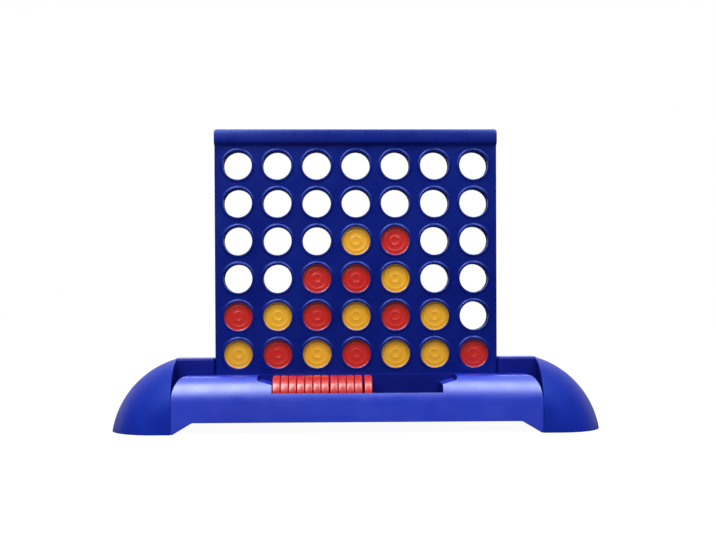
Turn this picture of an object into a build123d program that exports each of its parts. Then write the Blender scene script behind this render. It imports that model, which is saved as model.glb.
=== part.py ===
"""Four-in-a-row game: an upright grid of seven disc columns, standing in a long base with two disc trays.

The grid is two moulded panels snapped together, with a release bar under the columns. The base is a tray
body between two domed end caps. Red discs stand in the front tray and yellow ones in the rear tray.
X runs along the base, Y from front to back and Z up. The origin is on the table under the grid's middle.
All lengths are in millimetres.
"""
from build123d import *
from math import sqrt
import os

# Discs
disc_diameter = 31.8
disc_thickness = 6.4
disc_rim_width = 3.4
disc_recess_depth = 0.7
disc_stack_gap = 0.3

# Grid
column_count = 7
row_count = 6
divider_thickness = 1.0
disc_side_clearance = 0.35
disc_face_clearance = 0.3
panel_thickness = 1.8
side_wall_thickness = 3.25
window_diameter = 24.2
bead_width = 2.4
bead_height = 0.8
bead_chamfer = 0.6
bottom_row_rise = 17.5
grid_foot_depth = 10.5
lip_stand_out = 4.0
lip_rise = 0.5
lip_slope_height = 2.5
lip_height = 11.1
grid_corner_radius = 2.5
snap_tab_height = 3.0
snap_tab_clearance = 0.15
snap_tab_recess = 0.3

# Release bar
rung_width = 1.2
rung_height = 1.8
bar_rail_thickness = 1.1
bar_rail_height = 2.8
bar_key_height = 1.2
bar_clearance = 0.3

# Base
base_half_length = 207.5
cap_length = 55.0
cap_step = 1.5
cap_spine_step = 0.4
cap_arc_drop = 12.3
cap_flank_height = 22.7
base_wall = 2.2
tube_half_depth = 42.5
tube_radius = 23.5
tube_axis_depth = 20.5
tube_edge_radius = 3.0
shelf_height = 46.5
tube_end_round_width = 10.0
tube_end_round_height = 24.0
spine_half_depth = 10.0
spine_rise = 14.5
spine_edge_radius = 2.5
notch_corner_radius = 2.0
base_clearance_height = 9.5
arch_end_width = 17.5
arch_foot_width = 1.5
arch_corner_radius = 4.0
grid_slot_clearance = 0.35
grid_ledge_width = 8.0

# Trays
tray_disc_count = 12
tray_disc_pitch = 6.7
tray_disc_clearance = 0.3
tray_disc_proud = 0.4
tray_back_wall = 1.65
tray_loose_gaps = {7: 0.7, 11: 1.4}
tray_half_length = 70.3
tray_window_depth = 13.3
tray_shoulder_depth = 6.7
tray_shoulder_step = 3.6
tray_window_half_length = 82.5
tray_corner_radius = 2.0

# Joint between the tray body and the end caps
tongue_width = 10.0
tongue_height = 7.0
tongue_length = 6.0
tongue_clearance = 0.2
tongue_offset = 22.0
tongue_middle_height = 7.5

# Reach of a cut past the face it opens, and the tolerance for picking edges by their place
overshoot = 1.0
pick_tolerance = 0.01

# Sizes that follow from the ones above
disc_radius = disc_diameter / 2
column_pitch = disc_diameter + 2 * disc_side_clearance + divider_thickness
row_pitch = disc_diameter + disc_stack_gap
bottom_row_height = shelf_height + bottom_row_rise
grid_foot_height = shelf_height - grid_foot_depth
spine_height = shelf_height + spine_rise
tube_axis_height = shelf_height - tube_axis_depth
slot_half = disc_thickness / 2 + disc_face_clearance
panel_face = slot_half + panel_thickness
bead_face = panel_face + bead_height
lip_face = panel_face + lip_stand_out
inner_half_width = column_count * column_pitch / 2 - divider_thickness / 2
grid_half_width = inner_half_width + side_wall_thickness
top_row_height = bottom_row_height + (row_count - 1) * row_pitch
lip_start = top_row_height + disc_radius + lip_rise
lip_underside = lip_start + lip_slope_height
grid_top = lip_underside + lip_height
bar_top = bottom_row_height - disc_radius - bar_clearance
bar_bottom = bar_top - bar_rail_height
divider_foot = bar_top + bar_clearance
outer_column = (column_count - 1) / 2 * column_pitch
tab_columns = (-1.5 * column_pitch, 1.5 * column_pitch)
tab_heights = (bottom_row_height + 1.5 * row_pitch, bottom_row_height + 3.5 * row_pitch)
base_slot_half = panel_face + grid_slot_clearance
notch_half_width = grid_half_width + grid_slot_clearance
tray_radius = disc_radius + tray_disc_clearance
tray_rear_wall = base_slot_half + tray_back_wall
tray_axis = tray_rear_wall + tray_radius
tray_axis_height = shelf_height + tray_disc_proud - disc_radius
tray_window_bottom = shelf_height - tray_window_depth
tray_shoulder_low = shelf_height - tray_shoulder_depth
tray_shoulder_high = tray_shoulder_low + tray_shoulder_step
tray_end = tray_half_length + base_wall
window_end = tray_window_half_length + base_wall
shoulder_floor = tray_shoulder_low - base_wall
cap_plane = base_half_length - cap_length
arch_half_width = cap_plane - arch_end_width
arch_foot = cap_plane - arch_foot_width
round_start = cap_plane - tube_end_round_width - 2 * base_wall
round_floor = shelf_height - tube_end_round_height - base_wall
cap_half_depth = tube_half_depth + cap_step
cap_height = spine_height - cap_spine_step
cap_arc_reach = (cap_length**2 + cap_height**2 + 2 * cap_height * cap_arc_drop) / (2 * cap_length)
cap_arc_radius = sqrt(cap_arc_reach**2 + cap_arc_drop**2)
cap_arc_x = base_half_length - cap_arc_reach
cap_flank_radius = cap_flank_height + cap_arc_drop
groove_height = bar_rail_height + 2 * bar_clearance
groove_half_length = inner_half_width + rung_width + bar_clearance
rail_left = bar_clearance - groove_half_length
rail_right = outer_column + rung_width / 2
rail_length = rail_right - rail_left
rail_middle = (rail_left + rail_right) / 2


def column_x(column):
    """The middle of a column, counted from 1 at the left."""
    return (column - (column_count + 1) / 2) * column_pitch


def row_z(row):
    """The middle of a row, counted from 1 at the bottom."""
    return bottom_row_height + (row - 1) * row_pitch


# Discs: a round coin with a raised rim and a shallow recess in both faces

def disc_profile():
    """Half section of a disc, with its radius along X and its thickness along Y."""
    with BuildSketch() as profile:
        Rectangle(disc_radius, disc_thickness, align=(Align.MIN, Align.CENTER))
        with Locations((0, -disc_thickness / 2), (0, disc_thickness / 2)):
            Rectangle(
                disc_radius - disc_rim_width,
                2 * disc_recess_depth,
                align=(Align.MIN, Align.CENTER),
                mode=Mode.SUBTRACT,
            )
    return profile.sketch


def disc_standing(plane):
    """A disc on this plane's origin, round the plane's Y direction."""
    with BuildPart() as disc:
        with BuildSketch(plane):
            add(disc_profile())
        revolve(axis=Axis(plane.origin, plane.y_dir))
    return disc


# Grid

def panel_outline():
    """The side section of the front panel with its flared lip. X is depth from the middle and Y is height."""
    with BuildSketch(Plane.YZ) as outline:
        with BuildLine():
            Polyline(
                (-slot_half, grid_foot_height),
                (-panel_face, grid_foot_height),
                (-panel_face, lip_start),
                (-lip_face, lip_underside),
                (-lip_face, grid_top),
                (-lip_face + panel_thickness, grid_top),
                (-lip_face + panel_thickness, lip_underside + panel_thickness / 2),
                (-slot_half, lip_start + panel_thickness / 2),
                close=True,
            )
        make_face()
    return outline.sketch


def window_places():
    """Centres of all windows in the XZ drawing."""
    return [
        (column_x(column), row_z(row))
        for column in range(1, column_count + 1)
        for row in range(1, row_count + 1)
    ]


def circles_on(plane, radius):
    """A circle of this radius at every window, drawn on a plane that faces the front or the rear."""
    with BuildSketch(plane) as drawing:
        with Locations(*window_places()):
            Circle(radius)
    return drawing.sketch


def tabs_on(plane, clearance):
    """The four snap tabs, or with a clearance the slots that they enter."""
    with BuildSketch(plane) as drawing:
        with Locations(*[(x, z) for x in tab_columns for z in tab_heights]):
            Rectangle(divider_thickness + 2 * clearance, snap_tab_height + 2 * clearance)
    return drawing.sketch


with BuildPart() as front_grid_panel:
    extrude(panel_outline(), amount=grid_half_width, both=True)
    top_corners = front_grid_panel.edges().filter_by(Axis.Y).group_by(Axis.Z)[-1]
    fillet(top_corners, grid_corner_radius)
    extrude(circles_on(Plane.XZ.offset(panel_face), window_diameter / 2 + bead_width), amount=bead_height)
    bead_edges = (
        front_grid_panel.faces()
        .filter_by(lambda face: abs(face.center().Y + bead_face) < pick_tolerance)
        .edges()
    )
    chamfer(bead_edges, bead_chamfer)
    extrude(
        circles_on(Plane.XZ.offset(slot_half), window_diameter / 2),
        amount=panel_thickness + bead_height,
        mode=Mode.SUBTRACT,
    )
    extrude(
        tabs_on(Plane.XZ.offset(slot_half), snap_tab_clearance),
        amount=panel_thickness,
        mode=Mode.SUBTRACT,
    )
front_grid_panel.part.label = "front_grid_panel"
with BuildPart() as rear_grid_panel:
    extrude(panel_outline().mirror(Plane.XZ), amount=grid_half_width, both=True)
    top_corners = rear_grid_panel.edges().filter_by(Axis.Y).group_by(Axis.Z)[-1]
    fillet(top_corners, grid_corner_radius)
    extrude(
        circles_on(Plane.XZ.offset(-panel_face), window_diameter / 2 + bead_width),
        amount=-bead_height,
    )
    bead_edges = (
        rear_grid_panel.faces()
        .filter_by(lambda face: abs(face.center().Y - bead_face) < pick_tolerance)
        .edges()
    )
    chamfer(bead_edges, bead_chamfer)
    extrude(
        circles_on(Plane.XZ.offset(-slot_half), window_diameter / 2),
        amount=-(panel_thickness + bead_height),
        mode=Mode.SUBTRACT,
    )
    # Side walls and dividers stand on the inner face and reach the front panel
    with BuildSketch(Plane.XZ.offset(-slot_half)):
        wall_middle = inner_half_width + side_wall_thickness / 2
        with Locations(*[(side * wall_middle, (grid_foot_height + lip_start) / 2) for side in (-1, 1)]):
            Rectangle(side_wall_thickness, lip_start - grid_foot_height)
        divider_middle = (divider_foot + lip_start) / 2
        with Locations(*[(column_x(column + 0.5), divider_middle) for column in range(1, column_count)]):
            Rectangle(divider_thickness, lip_start - divider_foot)
    extrude(amount=2 * slot_half)
    # Closed ends of the funnel under the lip
    for end in (inner_half_width, -grid_half_width):
        with BuildSketch(Plane.YZ.offset(end)):
            with BuildLine():
                Polyline(
                    (-slot_half, lip_start),
                    (-slot_half, lip_start + panel_thickness / 2),
                    (-lip_face + panel_thickness, lip_underside + panel_thickness / 2),
                    (-lip_face + panel_thickness, grid_top - grid_corner_radius),
                    (lip_face - panel_thickness, grid_top - grid_corner_radius),
                    (lip_face - panel_thickness, lip_underside + panel_thickness / 2),
                    (slot_half, lip_start + panel_thickness / 2),
                    (slot_half, lip_start),
                    close=True,
                )
            make_face()
        extrude(amount=side_wall_thickness)
    extrude(tabs_on(Plane.XZ.offset(slot_half), 0), amount=panel_thickness - snap_tab_recess)
    # Stepped groove for the release bar, wide inside and narrow outside
    key_groove_height = bar_key_height + 2 * bar_clearance
    for height, depth in ((groove_height, bar_rail_thickness), (key_groove_height, panel_thickness)):
        with BuildSketch(Plane.XZ.offset(-slot_half)):
            with Locations((0, (bar_bottom + bar_top) / 2)):
                Rectangle(2 * groove_half_length, height)
        extrude(amount=-depth, mode=Mode.SUBTRACT)
    # The last rung enters a pocket in the right side wall when the bar is open
    with BuildSketch(Plane.YZ.offset(inner_half_width)):
        with Locations((0, (bar_bottom + bar_top) / 2)):
            Rectangle(2 * slot_half, groove_height)
    extrude(amount=groove_half_length - inner_half_width, mode=Mode.SUBTRACT)
rear_grid_panel.part.label = "rear_grid_panel"

with BuildPart() as release_bar:
    with BuildSketch(Plane.XZ.offset(-slot_half - bar_clearance / 2)):
        with Locations((rail_middle, (bar_bottom + bar_top) / 2)):
            Rectangle(rail_length, bar_rail_height)
    extrude(amount=-(bar_rail_thickness - bar_clearance))
    with BuildSketch(Plane.XZ.offset(-slot_half - bar_clearance / 2)):
        with Locations((rail_middle, (bar_bottom + bar_top) / 2)):
            Rectangle(rail_length, bar_key_height)
    extrude(amount=-(panel_thickness - bar_clearance / 2))
    # One rung stands across the slot under the middle of each column
    with BuildSketch(Plane.XY.offset(bar_top)):
        with Locations(*[(column_x(column), bar_clearance / 2) for column in range(1, column_count + 1)]):
            Rectangle(rung_width, 2 * slot_half)
    extrude(amount=-rung_height)
release_bar.part.label = "release_bar"


# Base

def tube_depth_at(height, radius):
    """Distance from the middle of the base to the face of a tube of this radius at a height."""
    return tube_half_depth - tube_radius + sqrt(radius**2 - (height - tube_axis_height) ** 2)


def body_section():
    """Outer side section of the tray body, drawn at the front and mirrored to the rear."""
    shelf_edge = -tube_depth_at(shelf_height, tube_radius)
    with BuildSketch(Plane.YZ) as section:
        with BuildLine():
            Line((-tube_half_depth, 0), (-tube_half_depth, tube_axis_height))
            RadiusArc((-tube_half_depth, tube_axis_height), (shelf_edge, shelf_height), tube_radius)
            Polyline(
                (shelf_edge, shelf_height),
                (-spine_half_depth, shelf_height),
                (-spine_half_depth, spine_height),
                (0, spine_height),
                (0, 0),
                (-tube_half_depth, 0),
            )
        make_face()
        mirror(about=Plane.YZ)
    return section.sketch


def hollow_section(plane, top, inner_edge):
    """Section of the hollow under the front and rear tubes, up to top and out from inner_edge, on a plane."""
    radius = tube_radius - base_wall
    front = tube_half_depth - base_wall
    with BuildSketch(plane) as section:
        with BuildLine():
            if top > tube_axis_height:
                edge = tube_depth_at(top, radius)
                Line((-front, -overshoot), (-front, tube_axis_height))
                RadiusArc((-front, tube_axis_height), (-edge, top), radius)
                Polyline((-edge, top), (-inner_edge, top), (-inner_edge, -overshoot), (-front, -overshoot))
            else:
                Polyline(
                    (-front, -overshoot),
                    (-front, top),
                    (-inner_edge, top),
                    (-inner_edge, -overshoot),
                    close=True,
                )
        make_face()
        mirror(about=Plane.YZ)
    return section.sketch


def tray_opening():
    """The stepped window of a tray, as seen from the front."""
    with BuildSketch(Plane.XZ) as outline:
        with BuildLine():
            Polyline(
                (0, tray_window_bottom),
                (tray_half_length, tray_window_bottom),
                (tray_half_length, tray_shoulder_low),
                (tray_window_half_length, tray_shoulder_high),
                (tray_window_half_length, spine_height),
                (0, spine_height),
                close=True,
            )
        make_face()
        mirror(about=Plane.YZ)
        shoulder_ends = outline.vertices().filter_by(
            lambda corner: abs(corner.Y - tray_shoulder_high) < pick_tolerance
        )
        fillet(shoulder_ends, tray_corner_radius)
    return outline.sketch


def tongues(side, clearance):
    """The two tongues on one end of the tray body, or with a clearance the slots that they enter."""
    with BuildSketch(Plane.YZ.offset(side * cap_plane)) as drawing:
        with Locations((-tongue_offset, tongue_middle_height), (tongue_offset, tongue_middle_height)):
            Rectangle(
                tongue_width + 2 * clearance,
                tongue_height + 2 * clearance,
            )
    return drawing.sketch


with BuildPart() as tray_body:
    extrude(body_section(), amount=cap_plane, both=True)
    # The spine is rounded along its top, and so are the tubes where they meet the shelf
    long_edges = tray_body.edges().filter_by(Axis.X)
    fillet(long_edges.group_by(Axis.Z)[-1], spine_edge_radius)
    tube_edges = tray_body.edges().filter_by(Axis.X).filter_by(
        lambda edge: abs(edge.center().Z - shelf_height) < pick_tolerance
        and abs(edge.center().Y) > spine_half_depth + pick_tolerance
    )
    fillet(tube_edges, tube_edge_radius)
    # The spine is cut away where the grid stands
    with BuildSketch(Plane.XY.offset(shelf_height)):
        Rectangle(2 * notch_half_width, 2 * spine_half_depth)
    extrude(amount=spine_height, mode=Mode.SUBTRACT)
    notch_corners = (
        tray_body.edges()
        .filter_by(Axis.Y)
        .filter_by(lambda edge: abs(edge.center().Z - spine_height) < pick_tolerance)
        .filter_by(lambda edge: abs(abs(edge.center().X) - notch_half_width) < pick_tolerance)
    )
    fillet(notch_corners, notch_corner_radius)
    # The grid stands in a slot on a ledge at each end, and between the ledges the slot is open to the table
    with BuildSketch(Plane.XY.offset(grid_foot_height)):
        Rectangle(2 * notch_half_width, 2 * base_slot_half)
    extrude(amount=spine_height, mode=Mode.SUBTRACT)
    with BuildSketch(Plane.XY):
        Rectangle(2 * (notch_half_width - grid_ledge_width), 2 * base_slot_half)
    extrude(amount=spine_height, mode=Mode.SUBTRACT)
    # Hollow underside, in zones along the base: by the trays, by the grid, under the spine and at the ends
    zones = (
        (tray_end, window_end, shoulder_floor, tray_rear_wall),
        (window_end, notch_half_width - base_wall, shelf_height - base_wall, tray_rear_wall),
        (notch_half_width + base_wall, round_start, shelf_height - base_wall, 0),
        (round_start, cap_plane - base_wall, round_floor, 0),
    )
    for zone_start, zone_end, zone_top, zone_inner in zones:
        for side in (-1, 1):
            section = hollow_section(Plane.YZ.offset(side * zone_start), zone_top, zone_inner)
            extrude(section, amount=zone_end - zone_start, dir=(side, 0, 0), mode=Mode.SUBTRACT)
    # Hollow under the trays, round the outside of their round floors
    with BuildSketch(Plane.YZ) as under_tray:
        add(hollow_section(Plane.YZ, tray_axis_height, tray_rear_wall))
        with Locations((-tray_axis, tray_axis_height), (tray_axis, tray_axis_height)):
            Circle(tray_radius + base_wall, mode=Mode.SUBTRACT)
    for side in (-1, 1):
        extrude(under_tray.sketch, amount=tray_end, dir=(side, 0, 0), mode=Mode.SUBTRACT)
    # Trays: a round floor for the discs, open upwards, and a stepped window through the tube in front of it
    with BuildSketch(Plane.YZ) as tray_channel:
        with Locations((-tray_axis, tray_axis_height), (tray_axis, tray_axis_height)):
            Circle(tray_radius)
        with Locations((-tray_axis, tray_axis_height), (tray_axis, tray_axis_height)):
            Rectangle(2 * tray_radius, spine_height, align=(Align.CENTER, Align.MIN))
    extrude(tray_channel.sketch, amount=tray_half_length, both=True, mode=Mode.SUBTRACT)
    for side in (-1, 1):
        opening = tray_opening().moved(Location((0, side * tray_rear_wall, 0)))
        extrude(opening, amount=tube_half_depth, dir=(0, side, 0), mode=Mode.SUBTRACT)
    # Rounded upper corners where each tube meets an end cap
    with BuildSketch(Plane.XZ) as round_corners:
        for end in (-1, 1):
            centre = (end * (cap_plane - tube_end_round_width), shelf_height - tube_end_round_height)
            with Locations(centre):
                Rectangle(
                    tube_end_round_width + overshoot,
                    tube_end_round_height + overshoot,
                    align=(Align.MIN if end > 0 else Align.MAX, Align.MIN),
                )
                Ellipse(tube_end_round_width, tube_end_round_height, mode=Mode.SUBTRACT)
    for side in (-1, 1):
        corner = round_corners.sketch.moved(Location((0, side * spine_half_depth, 0)))
        extrude(corner, amount=tube_half_depth, dir=(0, side, 0), mode=Mode.SUBTRACT)
    # The middle of the base stands clear of the table
    with BuildSketch(Plane.XZ) as arch:
        with BuildLine():
            Polyline(
                (-arch_foot, 0),
                (-arch_half_width, base_clearance_height),
                (arch_half_width, base_clearance_height),
                (arch_foot, 0),
                close=True,
            )
        make_face()
        fillet(arch.vertices().group_by(Axis.Y)[-1], arch_corner_radius)
    extrude(arch.sketch, amount=tube_half_depth + overshoot, both=True, mode=Mode.SUBTRACT)
    # Tongues that plug into the end caps
    for side in (-1, 1):
        extrude(tongues(side, 0), amount=tongue_length, dir=(side, 0, 0))
tray_body.part.label = "tray_body"


def dome(shrink):
    """A quarter dome over the floor, turned about an axis below it, with its walls moved in by shrink."""
    hub = Plane(origin=(cap_arc_x, 0, -cap_arc_drop), x_dir=(0, 1, 0), z_dir=(1, 0, 0))
    half_depth = cap_half_depth - shrink
    with BuildPart() as turned:
        with BuildSketch(hub):
            with Locations((0, cap_flank_radius)):
                Ellipse(half_depth, cap_arc_radius - cap_flank_radius - shrink)
                Rectangle(
                    2 * half_depth,
                    cap_arc_radius,
                    align=(Align.CENTER, Align.MIN),
                    mode=Mode.INTERSECT,
                )
                Rectangle(2 * half_depth, cap_flank_radius, align=(Align.CENTER, Align.MAX))
        revolve(axis=Axis(hub.origin, (0, 1, 0)), revolution_arc=90)
        with BuildSketch(Plane.XY):
            with Locations((cap_plane + shrink, 0)):
                Rectangle(cap_arc_radius, 2 * cap_half_depth, align=(Align.MIN, Align.CENTER))
        extrude(amount=cap_arc_radius, mode=Mode.INTERSECT)
    return turned.part


with BuildPart() as right_end_cap:
    add(dome(0))
    add(dome(base_wall), mode=Mode.SUBTRACT)
    extrude(
        tongues(1, tongue_clearance),
        amount=tongue_length,
        dir=(1, 0, 0),
        mode=Mode.SUBTRACT,
    )
right_end_cap.part.label = "right_end_cap"

with BuildPart() as left_end_cap:
    add(right_end_cap.part.mirror(Plane.YZ))
left_end_cap.part.label = "left_end_cap"


# Discs in the columns, listed from the bottom of each column, and spare discs in the trays

colours = {"r": "red", "y": "yellow"}
played_columns = ("yr", "ry", "yrr", "ryry", "yryr", "yy", "r")
discs = []
for column, stack in enumerate(played_columns, start=1):
    for row, letter in enumerate(stack, start=1):
        disc = disc_standing(
            Plane(origin=(column_x(column), 0, row_z(row)), x_dir=(1, 0, 0), z_dir=(0, 0, 1))
        )
        disc.part.label = f"{colours[letter]}_disc_column_{column}_row_{row}"
        discs.append(disc)

for colour, side in (("red", -1), ("yellow", 1)):
    for number in range(tray_disc_count):
        loose = sum(gap for after, gap in tray_loose_gaps.items() if number >= after)
        from_end = disc_thickness / 2 + disc_face_clearance + number * tray_disc_pitch + loose
        x = side * (tray_half_length - from_end)
        disc = disc_standing(
            Plane(origin=(x, side * tray_axis, tray_axis_height), x_dir=(0, 1, 0), z_dir=(0, 0, -1))
        )
        disc.part.label = f"{colour}_tray_disc_{number + 1:02d}"
        discs.append(disc)


os.makedirs("parts", exist_ok=True)
pieces = [front_grid_panel, rear_grid_panel, release_bar, tray_body, left_end_cap, right_end_cap]
for piece in pieces + discs:
    export_step(piece.part, "parts/" + piece.part.label + ".step")
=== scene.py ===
"""Looks of the four-in-a-row game: grid, base and discs in moulded plastic, on a plain studio floor.

Lengths are in metres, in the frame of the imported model: X along the base, Y to the rear and Z up.
"""
import math

import bmesh
import bpy
from mathutils import Matrix, Vector


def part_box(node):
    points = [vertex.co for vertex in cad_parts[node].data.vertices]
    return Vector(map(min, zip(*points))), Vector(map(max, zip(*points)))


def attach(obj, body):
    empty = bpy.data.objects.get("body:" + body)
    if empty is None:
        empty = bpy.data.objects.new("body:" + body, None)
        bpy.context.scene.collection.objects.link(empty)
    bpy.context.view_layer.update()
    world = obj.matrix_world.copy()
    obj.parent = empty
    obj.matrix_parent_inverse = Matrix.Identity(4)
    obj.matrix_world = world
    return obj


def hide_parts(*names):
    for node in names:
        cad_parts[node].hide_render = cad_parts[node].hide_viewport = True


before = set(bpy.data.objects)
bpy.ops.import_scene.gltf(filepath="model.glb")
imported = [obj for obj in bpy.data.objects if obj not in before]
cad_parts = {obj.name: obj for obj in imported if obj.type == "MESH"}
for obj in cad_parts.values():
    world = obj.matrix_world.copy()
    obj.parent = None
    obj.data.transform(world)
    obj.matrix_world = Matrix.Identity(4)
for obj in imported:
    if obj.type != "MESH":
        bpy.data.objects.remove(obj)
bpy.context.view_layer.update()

# Places and sizes that the pieces share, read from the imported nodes
grid_low, grid_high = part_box("front_grid_panel")
bar_low, bar_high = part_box("release_bar")
corner_disc_low, corner_disc_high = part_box("yellow_disc_column_1_row_1")
rear_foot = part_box("rear_grid_panel")[0].z
tray_half_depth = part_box("tray_body")[1].y
disc_radius = (corner_disc_high.x - corner_disc_low.x) / 2
disc_half_thickness = (corner_disc_high.y - corner_disc_low.y) / 2
column_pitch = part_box("red_disc_column_2_row_1")[0].x - corner_disc_low.x
row_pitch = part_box("red_disc_column_1_row_2")[0].z - corner_disc_low.z
column_count = 7
row_count = 6
bottom_row = (corner_disc_low.z + corner_disc_high.z) / 2
middle_row = bottom_row + (row_count - 1) / 2 * row_pitch
grid_half_width = grid_high.x
grid_top = grid_high.z
slot_half = -grid_high.y
lip_face = -grid_low.y

# Distances at which points are welded, count as touching, or keep faces out of one plane
weld_distance = 0.000002
touching = 0.00001
hair = 0.00002

# Grid panels and their windows. A bead is an arc that crowns each window's rim
panel_thickness = 0.0018
panel_face = slot_half + panel_thickness
side_wall = 0.00325
inner_wall = grid_half_width - side_wall
corner_radius = 0.0025
side_softening = 0.0003
foot_edge = 0.0004
window_radius = 0.0121
cell_edge_steps = 18
bead_foot_radius = 0.01485
bead_height = 0.0008
bead_slope = math.radians(42)
bead_steps = 8
bead_curve = bead_height / (1 - math.cos(bead_slope))
bead_crown = bead_foot_radius - bead_curve * math.sin(bead_slope)

# Flared lip along the top of a panel
lip_height = 0.0111
lip_slope_height = 0.0025
lip_underside = grid_top - lip_height
lip_start = lip_underside - lip_slope_height
lip_bend = 0.0002
inner_lip_face = lip_face - panel_thickness
slope_inside = panel_thickness / 2

# Groove in the rear panel, and the pockets in the side walls, for the keyed release bar
bar_clearance = 0.0003
key_height = 0.0012
rail_depth = 0.0011
rail_face = slot_half + rail_depth
groove_low = bar_low.z - bar_clearance
groove_reach = 0.0015
groove_end = inner_wall + groove_reach
plug_overlap = 0.0004


def shade_smooth(piece, angle=35.0):
    """Shades a piece smooth, apart from the edges that are sharper than this angle."""
    for face in piece.data.polygons:
        face.use_smooth = True
    mesh = bmesh.new()
    mesh.from_mesh(piece.data)
    for edge in mesh.edges:
        if len(edge.link_faces) == 2:
            edge.smooth = edge.calc_face_angle(0.0) < math.radians(angle)
    mesh.to_mesh(piece.data)
    mesh.free()


def piece_from(mesh, name):
    """A new object that holds this bmesh, at the origin."""
    data = bpy.data.meshes.new(name)
    mesh.to_mesh(data)
    mesh.free()
    piece = bpy.data.objects.new(name, data)
    bpy.context.scene.collection.objects.link(piece)
    return piece


def soften_edges(piece, width, segments=2, angle=40.0):
    """Rounds the sharp edges of a piece, as a mould does."""
    bevel = piece.modifiers.new("mould_rounding", "BEVEL")
    bevel.width = width
    bevel.segments = segments
    bevel.limit_method = "ANGLE"
    bevel.angle_limit = math.radians(angle)
    bevel.use_clamp_overlap = True
    bevel.harden_normals = False


def applied(piece):
    """The piece with its modifiers made into plain mesh."""
    graph = bpy.context.evaluated_depsgraph_get()
    data = bpy.data.meshes.new_from_object(piece.evaluated_get(graph))
    piece.modifiers.clear()
    old = piece.data
    piece.data = data
    bpy.data.meshes.remove(old)
    return piece


# Moulded plastic

def noise_on(tree, place, scale, detail, roughness=0.5):
    """The grey value of a noise pattern on these coordinates."""
    noise = tree.nodes.new("ShaderNodeTexNoise")
    noise.inputs["Scale"].default_value = scale
    noise.inputs["Detail"].default_value = detail
    noise.inputs["Roughness"].default_value = roughness
    tree.links.new(place, noise.inputs["Vector"])
    return noise.outputs["Fac"]


def ramp_on(tree, value, low, high, low_result=0.0, high_result=1.0):
    """A value that goes from one result to the other while the given value goes from low to high."""
    ramp = tree.nodes.new("ShaderNodeMapRange")
    ramp.inputs["From Min"].default_value = low
    ramp.inputs["From Max"].default_value = high
    ramp.inputs["To Min"].default_value = low_result
    ramp.inputs["To Max"].default_value = high_result
    tree.links.new(value, ramp.inputs["Value"])
    return ramp.outputs["Result"]


def plastic(name, colour, tint, roughness, specular, grain, gloss_tint=(1.0, 1.0, 1.0), ior=1.5):
    """Moulded plastic with faint flow marks, handling marks in its gloss, a fine grain and scratches."""
    material = bpy.data.materials.new(name)
    material.use_nodes = True
    tree = material.node_tree
    nodes = tree.nodes
    links = tree.links
    shader = nodes["Principled BSDF"]
    shader.inputs["Specular IOR Level"].default_value = specular
    shader.inputs["Specular Tint"].default_value = (*gloss_tint, 1.0)
    shader.inputs["IOR"].default_value = ior
    place = nodes.new("ShaderNodeTexCoord").outputs["Object"]

    # Slow change of shade where the plastic cooled unevenly
    flow = noise_on(tree, place, scale=14.0, detail=3.0)
    shade = nodes.new("ShaderNodeMix")
    shade.data_type = "RGBA"
    shade.inputs[6].default_value = (*colour, 1.0)
    shade.inputs[7].default_value = (*tint, 1.0)
    links.new(ramp_on(tree, flow, low=0.35, high=0.75), shade.inputs[0])
    links.new(shade.outputs[2], shader.inputs["Base Color"])

    # Gloss that varies with handling marks
    marks = noise_on(tree, place, scale=55.0, detail=6.0, roughness=0.65)
    dullest, glossiest = roughness * 1.2, roughness * 0.85
    gloss = ramp_on(tree, marks, low=0.3, high=0.7, low_result=glossiest, high_result=dullest)
    links.new(gloss, shader.inputs["Roughness"])

    # Fine moulded grain and long shallow scratches
    fine = noise_on(tree, place, scale=1400.0, detail=2.0)
    drawn_out = nodes.new("ShaderNodeMapping")
    drawn_out.inputs["Rotation"].default_value = (0.3, 0.5, 0.4)
    drawn_out.inputs["Scale"].default_value = (9.0, 260.0, 190.0)
    links.new(place, drawn_out.inputs["Vector"])
    streaks = noise_on(tree, drawn_out.outputs["Vector"], scale=3.0, detail=1.0)
    scratches = ramp_on(tree, streaks, low=0.66, high=0.74, high_result=-0.5)
    relief = nodes.new("ShaderNodeMath")
    relief.operation = "ADD"
    links.new(fine, relief.inputs[0])
    links.new(scratches, relief.inputs[1])
    bump = nodes.new("ShaderNodeBump")
    bump.inputs["Strength"].default_value = grain
    bump.inputs["Distance"].default_value = 0.00005
    links.new(relief.outputs["Value"], bump.inputs["Height"])
    links.new(bump.outputs["Normal"], shader.inputs["Normal"])
    return material


grid_blue = plastic(
    "grid_blue", colour=(0.0012, 0.0070, 0.165), tint=(0.0030, 0.0120, 0.205),
    roughness=0.28, specular=1.0, grain=0.10, gloss_tint=(0.24, 0.36, 1.0),
)
base_blue = plastic(
    "base_blue", colour=(0.0020, 0.0280, 0.580), tint=(0.0045, 0.0360, 0.660),
    roughness=0.36, specular=1.0, grain=0.35, gloss_tint=(0.80, 0.88, 1.0), ior=1.75,
)
# Darker blue painted as shade on the base's trough, pockets, spine face, hollow underside and the caps'
# inner sides, where less light falls
painted_shade_blue = plastic(
    "painted_shade_blue", colour=(0.0012, 0.0060, 0.170), tint=(0.0030, 0.0090, 0.210),
    roughness=0.40, specular=0.50, grain=0.20, gloss_tint=(0.40, 0.45, 1.0),
)
# Darker copy of the base's blue on the end caps: painted shade for their domes, which face the dimmer
# sides
cap_blue_painted_shade = plastic(
    "cap_blue_painted_shade", colour=(0.0016, 0.0150, 0.330), tint=(0.0036, 0.0210, 0.400),
    roughness=0.46, specular=0.80, grain=0.08, gloss_tint=(0.24, 0.42, 1.0),
)
disc_red = plastic(
    "disc_red", colour=(0.600, 0.010, 0.007), tint=(0.680, 0.020, 0.013),
    roughness=0.24, specular=1.0, grain=0.20, ior=1.60,
)
disc_yellow = plastic(
    "disc_yellow", colour=(0.880, 0.410, 0.014), tint=(0.920, 0.480, 0.026),
    roughness=0.24, specular=0.90, grain=0.20, ior=1.60,
)


# Grid panels: one window cell, repeated over the grid, with a foot, side margins and the lip round it

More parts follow.
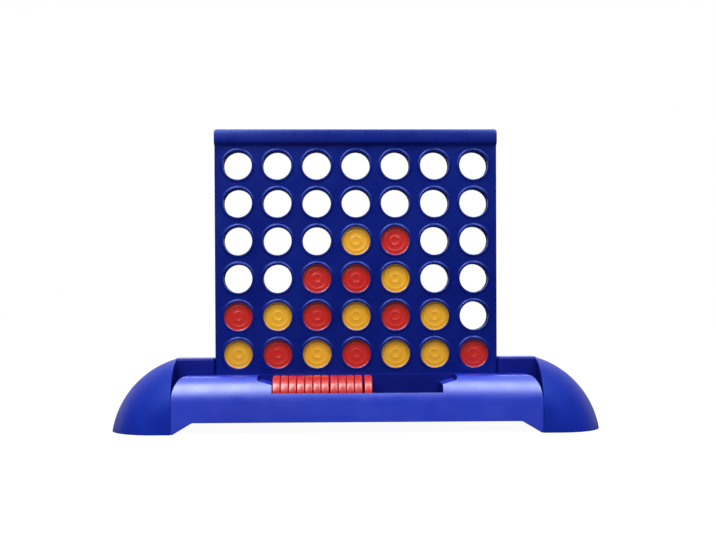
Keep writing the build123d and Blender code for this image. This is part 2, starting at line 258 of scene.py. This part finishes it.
# Steps of the bead down to the window: out from the window's wall, and down from the bead's top
bead_inner_edge = ((0.00035, 0.00006), (0.00010, 0.00025), (0.0, 0.00060))

# Steps of the window's inner end: out from its wall, and out from the panel's inner face
window_inner_edge = ((0.0, 0.00025), (0.00020, 0.0))


def window_cell(panel_side):
    """One cell of a panel, from its outer face over the bead and through the window to its inner face."""
    border = []
    for corner_x, corner_z, run_x, run_z in (
        (-1, -1, 2, 0), (1, -1, 0, 2), (1, 1, -2, 0), (-1, 1, 0, -2)
    ):
        for step in range(cell_edge_steps):
            share = step / cell_edge_steps
            border.append((
                (corner_x + run_x * share) * column_pitch / 2,
                (corner_z + run_z * share) * row_pitch / 2,
            ))
    directions = [math.atan2(z, x) for x, z in border]
    bead_top = panel_face + bead_height
    section = []
    for step in range(bead_steps):
        angle = bead_slope * (1 - step / (bead_steps - 1))
        section.append((
            bead_crown + bead_curve * math.sin(angle),
            bead_top - bead_curve * (1 - math.cos(angle)),
        ))
    section += [(window_radius + out, bead_top - down) for out, down in bead_inner_edge]
    section += [(window_radius + out, slot_half + forward) for out, forward in window_inner_edge]
    mesh = bmesh.new()
    rings = [[mesh.verts.new((x, panel_side * panel_face, z)) for x, z in border]]
    for radius, depth in section:
        rings.append([
            mesh.verts.new((radius * math.cos(angle), panel_side * depth, radius * math.sin(angle)))
            for angle in directions
        ])
    rings.append([mesh.verts.new((x, panel_side * slot_half, z)) for x, z in border])
    for outer, inner in zip(rings, rings[1:]):
        for step in range(len(border)):
            after = (step + 1) % len(border)
            mesh.faces.new((outer[step], outer[after], inner[after], inner[step]))
    bmesh.ops.recalc_face_normals(mesh, faces=mesh.faces)
    return piece_from(mesh, "window_cell")


def repeat_tree(name):
    """A node tree that repeats one piece over an upright grid of columns and rows."""
    tree = bpy.data.node_groups.new(name, "GeometryNodeTree")
    sockets = (
        ("Piece", "NodeSocketObject"),
        ("Columns", "NodeSocketInt"),
        ("Rows", "NodeSocketInt"),
        ("Column Pitch", "NodeSocketFloat"),
        ("Row Pitch", "NodeSocketFloat"),
        ("Middle", "NodeSocketVector"),
        ("Material", "NodeSocketMaterial"),
    )
    for label, kind in sockets:
        tree.interface.new_socket(name=label, in_out="INPUT", socket_type=kind)
    tree.interface.new_socket(name="Geometry", in_out="OUTPUT", socket_type="NodeSocketGeometry")
    nodes = tree.nodes
    links = tree.links
    given = nodes.new("NodeGroupInput")
    result = nodes.new("NodeGroupOutput")
    points = nodes.new("GeometryNodeMeshGrid")
    upright = nodes.new("GeometryNodeTransform")
    upright.inputs["Rotation"].default_value = (math.pi / 2, 0.0, 0.0)
    piece = nodes.new("GeometryNodeObjectInfo")
    placed = nodes.new("GeometryNodeInstanceOnPoints")
    real = nodes.new("GeometryNodeRealizeInstances")
    joined = nodes.new("GeometryNodeMergeByDistance")
    joined.inputs["Distance"].default_value = weld_distance
    finish = nodes.new("GeometryNodeSetMaterial")
    for count, pitch, point_count, size in (
        ("Columns", "Column Pitch", "Vertices X", "Size X"),
        ("Rows", "Row Pitch", "Vertices Y", "Size Y"),
    ):
        links.new(given.outputs[count], points.inputs[point_count])
        gaps = nodes.new("ShaderNodeMath")
        gaps.operation = "SUBTRACT"
        gaps.inputs[1].default_value = 1.0
        links.new(given.outputs[count], gaps.inputs[0])
        length = nodes.new("ShaderNodeMath")
        length.operation = "MULTIPLY"
        links.new(gaps.outputs["Value"], length.inputs[0])
        links.new(given.outputs[pitch], length.inputs[1])
        links.new(length.outputs["Value"], points.inputs[size])
    links.new(points.outputs["Mesh"], upright.inputs["Geometry"])
    links.new(given.outputs["Middle"], upright.inputs["Translation"])
    links.new(upright.outputs["Geometry"], placed.inputs["Points"])
    links.new(given.outputs["Piece"], piece.inputs["Object"])
    links.new(piece.outputs["Geometry"], placed.inputs["Instance"])
    links.new(placed.outputs["Instances"], real.inputs["Geometry"])
    links.new(real.outputs["Geometry"], joined.inputs["Geometry"])
    links.new(joined.outputs["Geometry"], finish.inputs["Geometry"])
    links.new(given.outputs["Material"], finish.inputs["Material"])
    links.new(finish.outputs["Geometry"], result.inputs["Geometry"])
    return tree


grid_repeat = repeat_tree("repeat_over_grid")


def repeated(name, piece, columns, rows, middle, material):
    """The piece repeated over the grid's pitch, as plain mesh."""
    host = bpy.data.objects.new(name, bpy.data.meshes.new(name))
    bpy.context.scene.collection.objects.link(host)
    modifier = host.modifiers.new("repeat", "NODES")
    modifier.node_group = grid_repeat
    values = {
        "Piece": piece,
        "Columns": columns,
        "Rows": rows,
        "Column Pitch": column_pitch,
        "Row Pitch": row_pitch,
        "Middle": middle,
        "Material": material,
    }
    for socket in grid_repeat.interface.items_tree:
        if socket.in_out == "INPUT":
            modifier[socket.identifier] = values[socket.name]
    return applied(host)


# Places across a margin, as shares of its width, closer together towards the panel's edge
margin_shares = (0.0, 0.4, 0.7, 0.9, 1.0)

# Steps of the lip's outer face: in from the face, and up from the lip's underside
lip_front = ((0.0004, -0.0002), (0.0001, 0.0001), (0.0, 0.0006), (0.0, 0.0030), (0.00008, 0.0055))

# Steps of its rounded crown: in from the face, and down from the top
lip_crown = (
    (0.00025, 0.0035), (0.00045, 0.0020), (0.00070, 0.0010), (0.00100, 0.0003), (0.00130, 0.00005),
)

# Steps of its inner edge: out from the inner face, and down from the top
lip_mouth = ((0.00020, 0.0), (0.0, 0.0003), (0.0, 0.0014), (0.0, 0.0026))


def samples(cells, pitch, margin):
    """Places along an edge: every step of the cells, and the shares of a margin at both ends."""
    half = cells * pitch / 2
    shares = margin_shares[1:] if margin else ()
    places = [-half - margin * share for share in reversed(shares)]
    places += [
        -half + pitch * cell + pitch * step / cell_edge_steps
        for cell in range(cells)
        for step in range(cell_edge_steps)
    ]
    places.append(half)
    places += [half + margin * share for share in shares]
    return places


def strip(mesh, section, places, to_point):
    """A skin through copies of a section, one at each place along an edge."""
    rows = [[mesh.verts.new(to_point(place, *corner)) for corner in section] for place in places]
    for first, second in zip(rows, rows[1:]):
        for index in range(len(section) - 1):
            mesh.faces.new((first[index], second[index], second[index + 1], first[index + 1]))
    return rows


def round_top_corners(mesh):
    """Draws the square upper corners of a panel in to quarter circles."""
    centre_x = grid_half_width - corner_radius
    centre_z = grid_top - corner_radius
    for vert in mesh.verts:
        out = (abs(vert.co.x) - centre_x) / corner_radius
        up = (vert.co.z - centre_z) / corner_radius
        if out > 0 and up > 0:
            round_out = out * math.sqrt(1 - up * up / 2)
            round_up = up * math.sqrt(1 - out * out / 2)
            vert.co.x = math.copysign(centre_x + corner_radius * round_out, vert.co.x)
            vert.co.z = centre_z + corner_radius * round_up


def soften_sides(mesh):
    """Draws in the upright side edges of a panel a little, as a mould does."""
    for vert in mesh.verts:
        depth = abs(vert.co.y)
        at_side = abs(abs(vert.co.x) - grid_half_width) < touching
        at_face = abs(depth - panel_face) < touching or depth > lip_face - lip_bend
        if at_side and at_face:
            vert.co.y = math.copysign(depth - side_softening, vert.co.y)


def foot_sections(foot, cells_low, grooved):
    """Sections of a panel below its windows. The rear one has the stepped groove of the release bar."""
    if not grooved:
        return [(
            (panel_face, cells_low), (panel_face, foot + foot_edge), (panel_face - foot_edge, foot),
            (slot_half + foot_edge, foot), (slot_half, foot + foot_edge), (slot_half, cells_low),
        )]
    bar_middle = (bar_low.z + bar_high.z) / 2
    key_reach = key_height / 2 + bar_clearance
    key_low = bar_middle - key_reach
    key_high = bar_middle + key_reach
    groove_high = cells_low - hair
    return [
        (
            (panel_face, cells_low), (panel_face, key_high), (rail_face, key_high),
            (rail_face, groove_high), (slot_half, groove_high), (slot_half, cells_low),
        ),
        (
            (panel_face, key_low), (panel_face, foot + foot_edge), (panel_face - foot_edge, foot),
            (slot_half + foot_edge, foot), (slot_half, foot + foot_edge), (slot_half, groove_low),
            (rail_face, groove_low), (rail_face, key_low), (panel_face, key_low),
        ),
    ]


def lip_section(cells_high):
    """Section of the lip above the windows: up its outer face, over the crown and down its inner face."""
    section = [
        (panel_face, cells_high), (panel_face, lip_start - lip_bend), (panel_face + lip_bend, lip_start),
    ]
    section += [(lip_face - inwards, lip_underside + up) for inwards, up in lip_front]
    section += [(lip_face - inwards, grid_top - down) for inwards, down in lip_crown]
    section += [(inner_lip_face + out, grid_top - down) for out, down in lip_mouth]
    section += [
        (inner_lip_face, lip_underside + slope_inside), (slot_half, lip_start + slope_inside),
        (slot_half, cells_high),
    ]
    return section


def block(mesh, low, high):
    """Adds a box between two corners."""
    for vert in bmesh.ops.create_cube(mesh, size=1.0)["verts"]:
        vert.co = Vector([
            low[axis] + (vert.co[axis] + 0.5) * (high[axis] - low[axis]) for axis in range(3)
        ])


def prism(mesh, outline, low, high, to_point):
    """Adds a bar of this outline between two places along its length."""
    ends = [[mesh.verts.new(to_point(place, *corner)) for corner in outline] for place in (low, high)]
    for end in ends:
        mesh.faces.new(end)
    for index in range(len(outline)):
        after = (index + 1) % len(outline)
        mesh.faces.new((ends[0][index], ends[0][after], ends[1][after], ends[1][index]))


def close_groove_ends(mesh, cells_low):
    """Adds a plug at both ends of the rear panel's groove."""
    for side in (-1, 1):
        inner = side * groove_end
        outer = side * (grid_half_width - hair)
        block(
            mesh,
            (min(inner, outer), slot_half + hair, groove_low - plug_overlap),
            (max(inner, outer), panel_face - side_softening - hair, cells_low + plug_overlap),
        )


def grid_panel(name, panel_side, foot, material, grooved):
    """A whole grid panel: window cells, foot, side margins and the flared lip."""
    cell = window_cell(panel_side)
    windows = repeated(name, cell, column_count, row_count, (0.0, 0.0, middle_row), material)
    bpy.data.objects.remove(cell)
    cells_side = column_count * column_pitch / 2
    margin = grid_half_width - cells_side
    cells_low = middle_row - row_count * row_pitch / 2
    cells_high = middle_row + row_count * row_pitch / 2
    mesh = bmesh.new()
    mesh.from_mesh(windows.data)
    across = samples(column_count, column_pitch, margin)
    upwards = [middle_row + place for place in samples(row_count, row_pitch, 0.0)]
    ends = []
    for section in foot_sections(foot, cells_low, grooved):
        rows = strip(mesh, section, across, lambda x, y, z: (x, panel_side * y, z))
        closed = section[0] == section[-1]
        ends += [row[:-1] if closed else row for row in (rows[0], rows[-1])]
    side_section = [(cells_side + margin * share, panel_face) for share in margin_shares]
    side_section += [(cells_side + margin * share, slot_half) for share in reversed(margin_shares)]
    for side in (-1, 1):
        strip(mesh, side_section, upwards, lambda z, x, y: (side * x, panel_side * y, z))
    rows = strip(mesh, lip_section(cells_high), across, lambda x, y, z: (x, panel_side * y, z))
    ends += [rows[0], rows[-1]]
    for row in ends:
        mesh.faces.new(row)
    if grooved:
        close_groove_ends(mesh, cells_low)
    round_top_corners(mesh)
    bmesh.ops.remove_doubles(mesh, verts=mesh.verts, dist=weld_distance)
    soften_sides(mesh)
    bmesh.ops.recalc_face_normals(mesh, faces=mesh.faces)
    mesh.to_mesh(windows.data)
    mesh.free()
    windows.data.materials.clear()
    windows.data.materials.append(material)
    return windows


front_panel = grid_panel("front_panel", -1, grid_low.z, grid_blue, grooved=False)
shade_smooth(front_panel)
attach(front_panel, "grid")
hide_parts("front_grid_panel")

rear_panel = grid_panel("rear_panel", 1, rear_foot, grid_blue, grooved=True)
shade_smooth(rear_panel)
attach(rear_panel, "grid")
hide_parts("rear_grid_panel")


# Ribs between the columns, and the closed sides of the grid

rib_half_thickness = 0.0005
rib_foot = bar_high.z + bar_clearance
rib_mesh = bmesh.new()
block(rib_mesh, (-rib_half_thickness, -slot_half, rib_foot), (rib_half_thickness, slot_half, lip_start))
rib = piece_from(rib_mesh, "rib")
ribs = repeated("column_ribs", rib, column_count - 1, 1, (0.0, 0.0, 0.0), grid_blue)
bpy.data.objects.remove(rib)
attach(ribs, "grid")

funnel_top = grid_top - corner_radius
funnel_foot = lip_underside + slope_inside
funnel_end = (
    (-slot_half, lip_start), (-inner_lip_face, funnel_foot), (-inner_lip_face, funnel_top),
    (inner_lip_face, funnel_top), (inner_lip_face, funnel_foot), (slot_half, lip_start),
)
wall_outline = (
    (inner_wall, rear_foot), (inner_wall, groove_low), (groove_end, groove_low),
    (groove_end, rib_foot), (inner_wall, rib_foot), (inner_wall, lip_start),
    (grid_half_width, lip_start), (grid_half_width, rear_foot),
)
wall_mesh = bmesh.new()
for side in (-1, 1):
    prism(wall_mesh, wall_outline, -slot_half, slot_half, lambda y, x, z: (side * x, y, z))
    prism(wall_mesh, funnel_end, side * inner_wall, side * grid_half_width, lambda x, y, z: (x, y, z))
bmesh.ops.recalc_face_normals(wall_mesh, faces=wall_mesh.faces)
side_walls = piece_from(wall_mesh, "grid_side_walls")
side_walls.data.materials.append(grid_blue)
soften_edges(side_walls, side_softening)
shade_smooth(side_walls)
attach(side_walls, "grid")


def ring_round(mesh, centre, radius, y, steps):
    """Points on a circle round an axis along Y. The centre is given by its X and Z."""
    return [
        mesh.verts.new((
            centre[0] + radius * math.cos(2 * math.pi * step / steps),
            y,
            centre[1] + radius * math.sin(2 * math.pi * step / steps),
        ))
        for step in range(steps)
    ]


# Ends of the four snap posts, which show as small dented dots on the front panel

post_steps = 24

# Columns and rows from the middle of the grid
post_places = ((-1.5, 1.0), (1.5, 1.0), (-1.5, -1.0), (1.5, -1.0))

# Radius, and rise above the panel's face
post_section = (
    (0.0, -0.00002), (0.0006, 0.00000), (0.0010, 0.00010), (0.0013, 0.00006), (0.0014, -0.00020),
)


def snap_post_ends():
    """Four low lathed dots on the front panel, between its windows."""
    mesh = bmesh.new()
    for column, row in post_places:
        centre = (column * column_pitch, middle_row + row * row_pitch)
        pole = mesh.verts.new((centre[0], -panel_face - post_section[0][1], centre[1]))
        rings = [
            ring_round(mesh, centre, radius, -panel_face - rise, post_steps)
            for radius, rise in post_section[1:]
        ]
        for step in range(post_steps):
            after = (step + 1) % post_steps
            mesh.faces.new((pole, rings[0][step], rings[0][after]))
            for first, second in zip(rings, rings[1:]):
                mesh.faces.new((first[step], second[step], second[after], first[after]))
        mesh.faces.new(rings[-1])
    bmesh.ops.recalc_face_normals(mesh, faces=mesh.faces)
    return piece_from(mesh, "snap_post_ends")


post_ends = snap_post_ends()
post_ends.data.materials.append(grid_blue)
shade_smooth(post_ends)
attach(post_ends, "grid")


# Discs: a lathed coin with a raised rim and two plain rings in its recess

disc_steps = 88
disc_recess = 0.0007
disc_rim_width = 0.0034
rim_foot_run = 0.0005
rim_top_run = 0.0003
rim_rounding = 0.0002

# Radii where a ring starts, reaches its top, leaves its top and ends, and its height
disc_rings = ((0.0030, 0.0034, 0.0040, 0.0044, 0.00018), (0.0082, 0.0086, 0.0091, 0.0095, 0.00016))

# Steps of the rounded outer edge: in from the disc's radius, and down from its face
disc_edge = ((0.0008, 0.0), (0.0003, 0.0002), (0.00005, 0.0006), (0.0, 0.0010))


def disc_section():
    """Half section of a disc from its centre to its edge: radius and height above the middle plane."""
    face = disc_half_thickness
    recess = face - disc_recess
    rim = disc_radius - disc_rim_width
    section = [(0.0, recess)]
    for start, top_start, top_end, end, height in disc_rings:
        top = recess + height
        section += [(start, recess), (top_start, top), (top_end, top), (end, recess)]
    section += [
        (rim - rim_foot_run, recess), (rim - rim_rounding, recess + rim_rounding),
        (rim, face - rim_rounding), (rim + rim_top_run, face),
    ]
    section += [(disc_radius - inwards, face - down) for inwards, down in disc_edge]
    return section


def disc_piece(node):
    """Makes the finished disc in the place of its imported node."""
    low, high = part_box(node)
    centre = (low + high) / 2
    on_edge = high.x - low.x < high.y - low.y
    upper = disc_section()
    section = upper + [(radius, -height) for radius, height in reversed(upper)]
    mesh = bmesh.new()
    poles = (mesh.verts.new((0, section[0][1], 0)), mesh.verts.new((0, section[-1][1], 0)))
    rings = [ring_round(mesh, (0.0, 0.0), radius, height, disc_steps) for radius, height in section[1:-1]]
    for step in range(disc_steps):
        after = (step + 1) % disc_steps
        mesh.faces.new((poles[0], rings[0][after], rings[0][step]))
        mesh.faces.new((poles[1], rings[-1][step], rings[-1][after]))
        for first, second in zip(rings, rings[1:]):
            mesh.faces.new((first[step], first[after], second[after], second[step]))
    bmesh.ops.recalc_face_normals(mesh, faces=mesh.faces)
    turn = Matrix.Rotation(math.pi / 2, 4, "Z") if on_edge else Matrix.Identity(4)
    mesh.transform(Matrix.Translation(centre) @ turn)
    piece = piece_from(mesh, "finished_" + node)
    red = node.startswith("red")
    piece.data.materials.append(disc_red if red else disc_yellow)
    shade_smooth(piece, angle=50.0)
    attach(piece, node)
    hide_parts(node)


for node in sorted(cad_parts):
    if "_disc_" in node:
        disc_piece(node)


# Base and release bar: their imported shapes, welded, with moulded edges

flat_angle = math.radians(0.4)
tube_radius = 0.0235
tube_height = 0.026
level_top_rise = 0.010
outer_side_band = 0.0010
skin_tolerance = 0.0007

# How much of a face's normal lies along an axis where the face counts as level, upright and so on
nearly_level = 0.95
nearly_upright = 0.9
turned_to_an_end = 0.5
turned_inwards = -0.6


def on_tray_skin(face):
    """Whether a face of the tray body is a level top, an upright outer side or the round of a tube. The
    other faces, in the trough, pockets, spine and underside, take painted shade.
    """
    centre = face.calc_center_median()
    level_top = face.normal.z > nearly_level and centre.z > tube_height + level_top_rise
    at_outer_side = abs(centre.y) > tray_half_depth - outer_side_band
    outer_side = at_outer_side and abs(face.normal.y) > nearly_upright
    across = abs(centre.y) - (tray_half_depth - tube_radius)
    off_round = abs(math.hypot(across, centre.z - tube_height) - tube_radius)
    tube_round = off_round < skin_tolerance and abs(face.normal.x) < turned_to_an_end
    return level_top or outer_side or tube_round


def on_cap_skin(face):
    """Whether a face of an end cap is anything but the inner side that meets the tubes, which takes
    painted shade.
    """
    outwards = math.copysign(1.0, face.calc_center_median().x)
    return face.normal.x * outwards > turned_inwards


def moulded_copy(node, name, body, materials, rounding, on_skin=None):
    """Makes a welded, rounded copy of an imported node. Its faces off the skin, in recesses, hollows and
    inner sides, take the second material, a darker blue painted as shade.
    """
    mesh = bmesh.new()
    mesh.from_mesh(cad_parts[node].data)
    bmesh.ops.remove_doubles(mesh, verts=mesh.verts, dist=weld_distance)
    bmesh.ops.dissolve_limit(
        mesh, angle_limit=flat_angle, verts=mesh.verts, edges=mesh.edges, use_dissolve_boundaries=False
    )
    for face in mesh.faces:
        face.material_index = 0 if on_skin is None or on_skin(face) else 1
    piece = piece_from(mesh, name)
    for material in materials:
        piece.data.materials.append(material)
    shade_smooth(piece, angle=25.0)
    soften_edges(piece, rounding, segments=3, angle=30.0)
    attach(piece, body)
    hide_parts(node)


# The tray's recesses and hollow and the caps' inner sides take painted shade
moulded_copy(
    "tray_body", "moulded_tray_body", "base", materials=(base_blue, painted_shade_blue),
    rounding=0.0005, on_skin=on_tray_skin,
)
moulded_copy(
    "left_end_cap", "moulded_left_cap", "base", materials=(cap_blue_painted_shade, painted_shade_blue),
    rounding=0.0006, on_skin=on_cap_skin,
)
moulded_copy(
    "right_end_cap", "moulded_right_cap", "base", materials=(cap_blue_painted_shade, painted_shade_blue),
    rounding=0.0006, on_skin=on_cap_skin,
)
moulded_copy(
    "release_bar", "moulded_release_bar", "release_bar", materials=(grid_blue,),
    rounding=0.0001,
)


# Studio: pale floor, plain room, soft lights and the photograph's viewing angle

floor_half_size = 12.0
floor_grey = 0.24
floor_grey_in_gloss = 0.05
floor_shadow_grey = 0.09
floor_glow = 0.955


def mixed_shaders(tree, share, first, second):
    """The first shader, with this share of the second."""
    mix = tree.nodes.new("ShaderNodeMixShader")
    tree.links.new(share, mix.inputs[0])
    tree.links.new(first.outputs[0], mix.inputs[1])
    tree.links.new(second.outputs[0], mix.inputs[2])
    return mix


def grey_diffuse(tree, grey):
    """A matt grey shader."""
    matt = tree.nodes.new("ShaderNodeBsdfDiffuse")
    matt.inputs["Color"].default_value = (grey, grey, grey, 1.0)
    return matt


def floor_material():
    """A pale floor that shows white to the camera with a faint shadow, and reflects softly."""
    material = bpy.data.materials.new("studio_floor")
    material.use_nodes = True
    tree = material.node_tree
    tree.nodes.clear()
    output = tree.nodes.new("ShaderNodeOutputMaterial")
    sight = tree.nodes.new("ShaderNodeLightPath")
    for_light = grey_diffuse(tree, floor_grey)
    for_gloss = grey_diffuse(tree, floor_grey_in_gloss)
    unseen = mixed_shaders(tree, sight.outputs["Is Glossy Ray"], for_light, for_gloss)
    shadow_catcher = grey_diffuse(tree, floor_shadow_grey)
    white = tree.nodes.new("ShaderNodeEmission")
    white.inputs["Strength"].default_value = floor_glow
    seen = tree.nodes.new("ShaderNodeAddShader")
    tree.links.new(shadow_catcher.outputs[0], seen.inputs[0])
    tree.links.new(white.outputs[0], seen.inputs[1])
    whole = mixed_shaders(tree, sight.outputs["Is Camera Ray"], unseen, seen)
    tree.links.new(whole.outputs[0], output.inputs["Surface"])
    return material


floor_mesh = bmesh.new()
bmesh.ops.create_grid(floor_mesh, x_segments=1, y_segments=1, size=floor_half_size)
floor = piece_from(floor_mesh, "studio_floor")
floor.data.materials.append(floor_material())


def studio_world():
    """A plain room, white to the camera, that lights the game most from above and behind."""
    world = bpy.data.worlds.new("studio_world")
    world.use_nodes = True
    tree = world.node_tree
    nodes = tree.nodes
    links = tree.links
    nodes.clear()
    output = nodes.new("ShaderNodeOutputWorld")
    sight = nodes.new("ShaderNodeLightPath")
    direction = nodes.new("ShaderNodeTexCoord")
    parts = nodes.new("ShaderNodeSeparateXYZ")
    links.new(direction.outputs["Generated"], parts.inputs[0])
    brighter = nodes.new("ShaderNodeMath")
    brighter.operation = "MAXIMUM"
    for socket, (axis, dimmest_at, brightest_at) in enumerate((("Z", 0.25, 0.95), ("Y", -0.1, 0.6))):
        level = ramp_on(
            tree, parts.outputs[axis], dimmest_at, brightest_at, low_result=0.03, high_result=0.85
        )
        links.new(level, brighter.inputs[socket])
    room = nodes.new("ShaderNodeBackground")
    links.new(brighter.outputs["Value"], room.inputs["Strength"])
    backdrop = nodes.new("ShaderNodeBackground")
    backdrop.inputs["Strength"].default_value = 1.0
    for shader in (room, backdrop):
        shader.inputs["Color"].default_value = (1.0, 1.0, 1.0, 1.0)
    chosen = mixed_shaders(tree, sight.outputs["Is Camera Ray"], room, backdrop)
    links.new(chosen.outputs[0], output.inputs["Surface"])
    return world


bpy.context.scene.world = studio_world()


def softbox(name, place, target, size, power):
    """Adds a rectangular studio light that faces a target."""
    lamp = bpy.data.lights.new(name, "AREA")
    lamp.shape = "RECTANGLE"
    lamp.size, lamp.size_y = size
    lamp.energy = power
    box = bpy.data.objects.new(name, lamp)
    bpy.context.scene.collection.objects.link(box)
    box.location = place
    box.rotation_euler = (Vector(target) - Vector(place)).to_track_quat("-Z", "Y").to_euler()


base_front = (0.0, -0.03, 0.05)
grid_foot = (0.0, 0.0, 0.08)
softbox("left_softbox", (-0.40, -0.82, 1.02), base_front, size=(0.50, 1.00), power=11.0)
softbox("right_softbox", (0.44, -0.78, 1.06), base_front, size=(0.45, 1.00), power=7.6)
softbox("rear_softbox", (0.0, 0.95, 0.95), grid_foot, size=(0.90, 0.30), power=7.0)

bpy.context.scene.view_settings.view_transform = "Standard"

image_width = 716
image_height = 540
focal_pixels = 1000.0
horizon_pixel = (358.0, 320.0)
pitch, yaw, roll = -0.0085, 0.0225, -0.0042
camera_data = bpy.data.cameras.new("photo_camera")
camera_data.sensor_width = 36.0
camera_data.lens = focal_pixels / image_width * camera_data.sensor_width
camera_data.shift_x = (image_width / 2 - horizon_pixel[0]) / image_width
camera_data.shift_y = (horizon_pixel[1] - image_height / 2) / image_width
camera_data.clip_start = 0.01
camera_data.clip_end = 60.0
camera = bpy.data.objects.new("photo_camera", camera_data)
bpy.context.scene.collection.objects.link(camera)
camera.location = (-0.0178, -0.8575, 0.0999)
turned = Matrix.Rotation(-yaw, 4, "Z")
tilted = Matrix.Rotation(math.pi / 2 + pitch, 4, "X")
rolled = Matrix.Rotation(roll, 4, "Z")
camera.rotation_euler = (turned @ tilted @ rolled).to_euler()
bpy.context.scene.camera = camera
